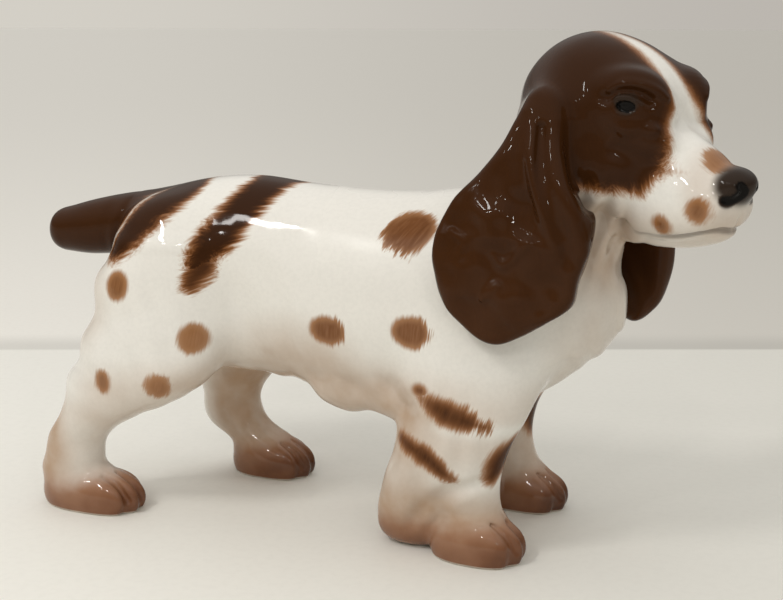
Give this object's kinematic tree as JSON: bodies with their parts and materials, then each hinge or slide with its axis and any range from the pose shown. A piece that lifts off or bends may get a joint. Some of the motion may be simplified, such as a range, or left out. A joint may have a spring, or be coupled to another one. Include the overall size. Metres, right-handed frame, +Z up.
{
  "type": "ceramic dog figurine",
  "caption": "Standing spaniel figurine in glazed white porcelain with painted brown markings, head turned to its right; ornamental, free-standing.",
  "frame": {"origin": "on the table, under the middle of the figurine's bounding box", "axes": "+X the way the body faces, +Y the dog's left, +Z up"},
  "size_m": [0.2096, 0.0726, 0.1389],
  "materials": {
    "glaze_white": "creamy white porcelain under clear gloss glaze, with underglaze brown spots and streaks",
    "glaze_face": "brushed brown underglaze with a white blaze and muzzle, under clear gloss glaze",
    "glaze_brown": "deep red-brown underglaze under clear gloss glaze"
  },
  "bodies": {
    "root": {"torso": "glaze_white", "fore_leg_right": "glaze_white", "fore_leg_left": "glaze_white", "hind_leg_right": "glaze_white", "hind_leg_left": "glaze_white", "head": "glaze_face", "ear_right": "glaze_brown", "ear_left": "glaze_brown", "tail": "glaze_brown"}
  },
  "joints": []
}
